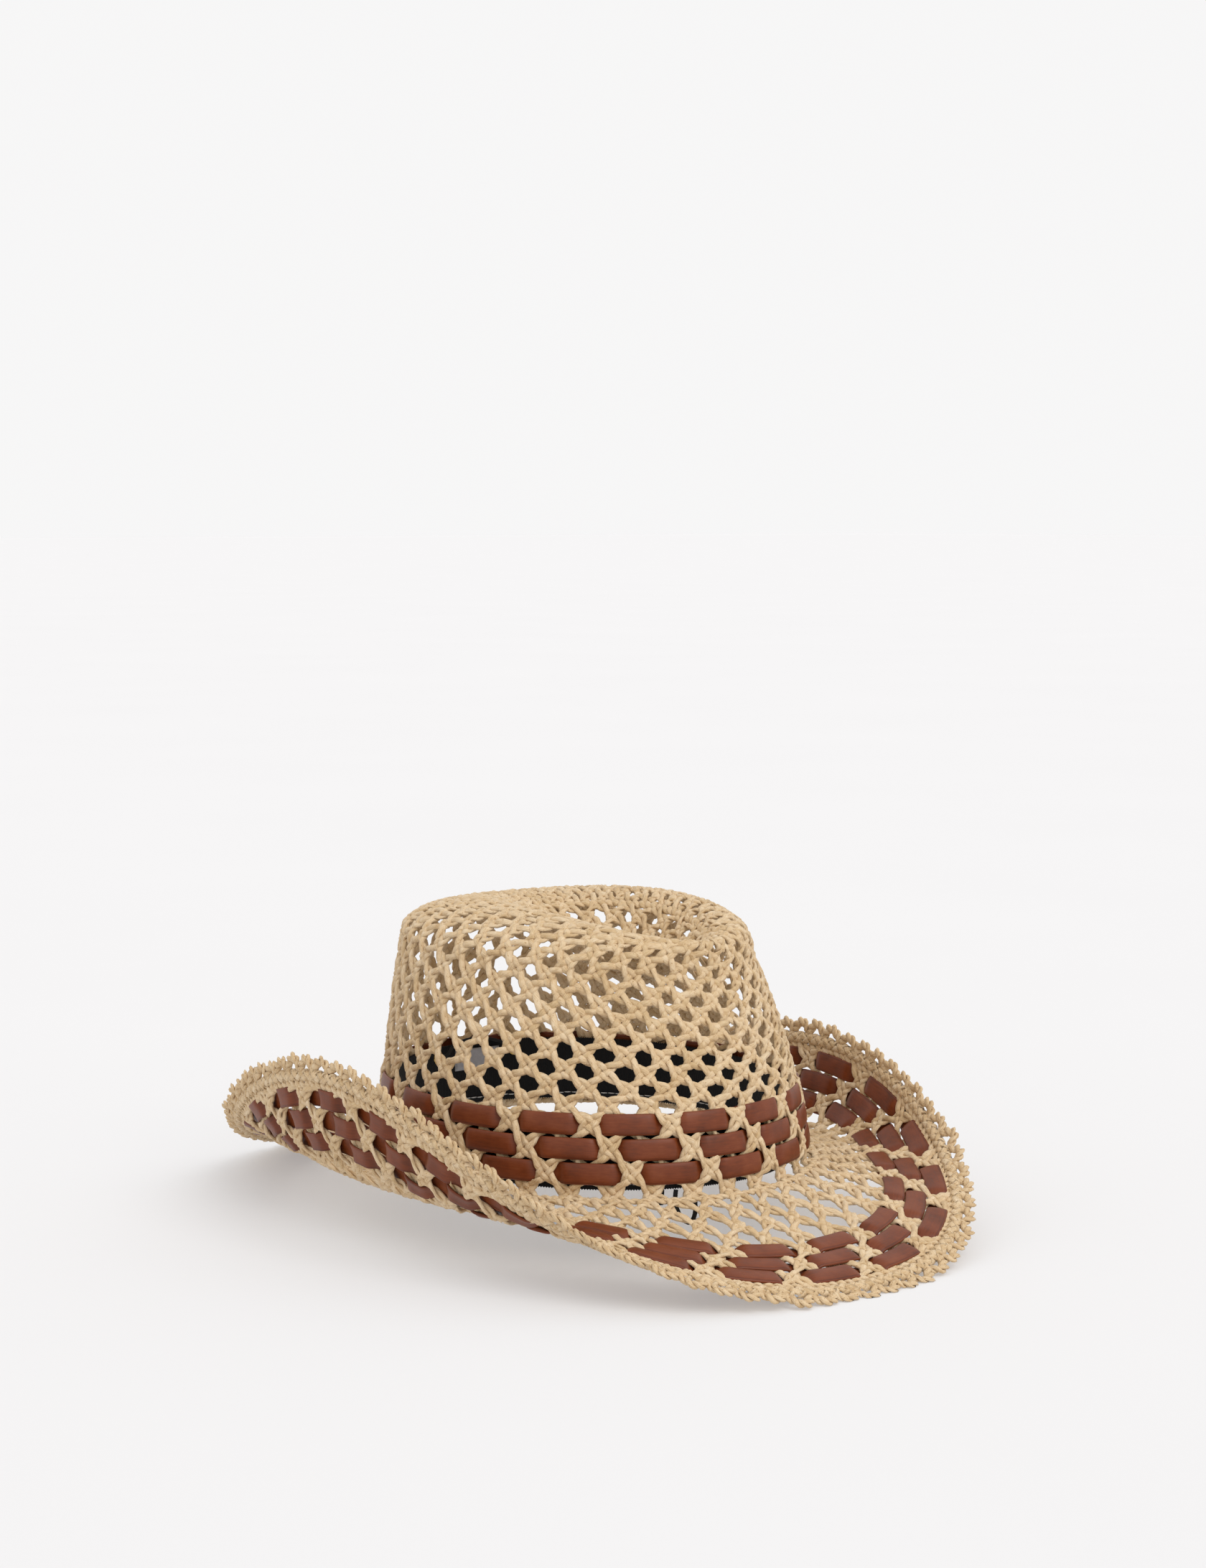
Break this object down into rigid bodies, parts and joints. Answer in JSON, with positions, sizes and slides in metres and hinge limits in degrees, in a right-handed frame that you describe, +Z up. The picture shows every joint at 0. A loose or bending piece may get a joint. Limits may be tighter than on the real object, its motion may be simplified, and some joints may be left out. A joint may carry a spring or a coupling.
{
  "type": "woven straw cowboy hat",
  "caption": "Open-weave straw cowboy hat with a dented crown, rolled brim, laced leather straps and a ribbon sweatband.",
  "frame": {"origin": "on the table that the hat stands on, under the middle of the brim", "axes": "+Z up, Y the long way through the head opening with the front of the hat towards -Y, +X to the wearer's left"},
  "size_m": [0.252, 0.3568, 0.1327],
  "materials": {
    "straw": "twisted paper straw, light natural",
    "straw_border": "dense crocheted paper straw",
    "wire": "plain drawn wire",
    "leather": "smooth brown leather, soft gloss",
    "ribbon": "black ribbed grosgrain",
    "thread": "white sewing thread",
    "brass": "polished",
    "satin": "grey satin, blank",
    "black_cord": "fine braided black cord"
  },
  "bodies": {
    "root": {"crown_wall_weave": "straw", "crown_top_weave": "straw", "brim_weave": "straw", "brim_edge_braid": "straw_border", "brim_wire": "wire", "crown_strap_lower": "leather", "crown_strap_middle": "leather", "crown_strap_upper": "leather", "brim_strap_outer": "leather", "brim_strap_middle": "leather", "brim_strap_inner": "leather", "sweatband": "ribbon", "sweatband_stitching": "thread", "eyelet_left": "brass", "eyelet_right": "brass", "inner_label": "satin", "care_label": "ribbon", "sizing_cord": "black_cord", "hang_loop": "black_cord"}
  },
  "joints": []
}
